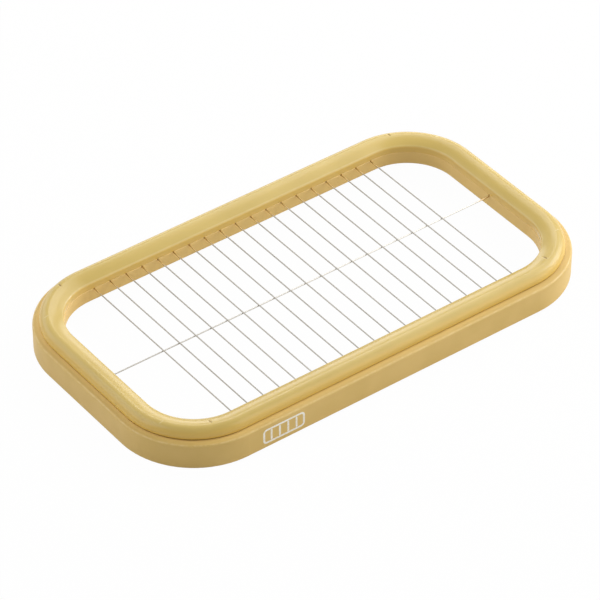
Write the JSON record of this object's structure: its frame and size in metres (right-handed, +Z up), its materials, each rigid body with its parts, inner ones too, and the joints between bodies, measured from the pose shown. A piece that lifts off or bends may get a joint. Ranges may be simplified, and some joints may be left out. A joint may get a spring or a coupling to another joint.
{
  "type": "wire butter slicer",
  "caption": "Rounded rectangular plastic frame strung with parallel steel cross wires and one lengthwise wire, pressed down over a block of butter to slice it.",
  "frame": {"origin": "middle of the frame in plan, on the surface that its bottom rim stands on", "axes": "+X along the long side and the lengthwise wire, +Y along the cross wires, away from the near long side, +Z up"},
  "size_m": [0.1662, 0.0932, 0.0129],
  "materials": {
    "frame_plastic": "fine matt moulded grain",
    "ring_plastic": "satin",
    "wire_steel": "drawn stainless steel wire"
  },
  "bodies": {
    "root": {"lower_frame": "frame_plastic", "upper_ring": "ring_plastic", "cross_wire_01": "wire_steel", "cross_wire_02": "wire_steel", "cross_wire_03": "wire_steel", "cross_wire_04": "wire_steel", "cross_wire_05": "wire_steel", "cross_wire_06": "wire_steel", "cross_wire_07": "wire_steel", "cross_wire_08": "wire_steel", "cross_wire_09": "wire_steel", "cross_wire_10": "wire_steel", "cross_wire_11": "wire_steel", "cross_wire_12": "wire_steel", "cross_wire_13": "wire_steel", "cross_wire_14": "wire_steel", "cross_wire_15": "wire_steel", "cross_wire_16": "wire_steel", "cross_wire_17": "wire_steel", "cross_wire_18": "wire_steel", "cross_wire_19": "wire_steel", "lengthwise_wire": "wire_steel"}
  },
  "joints": []
}
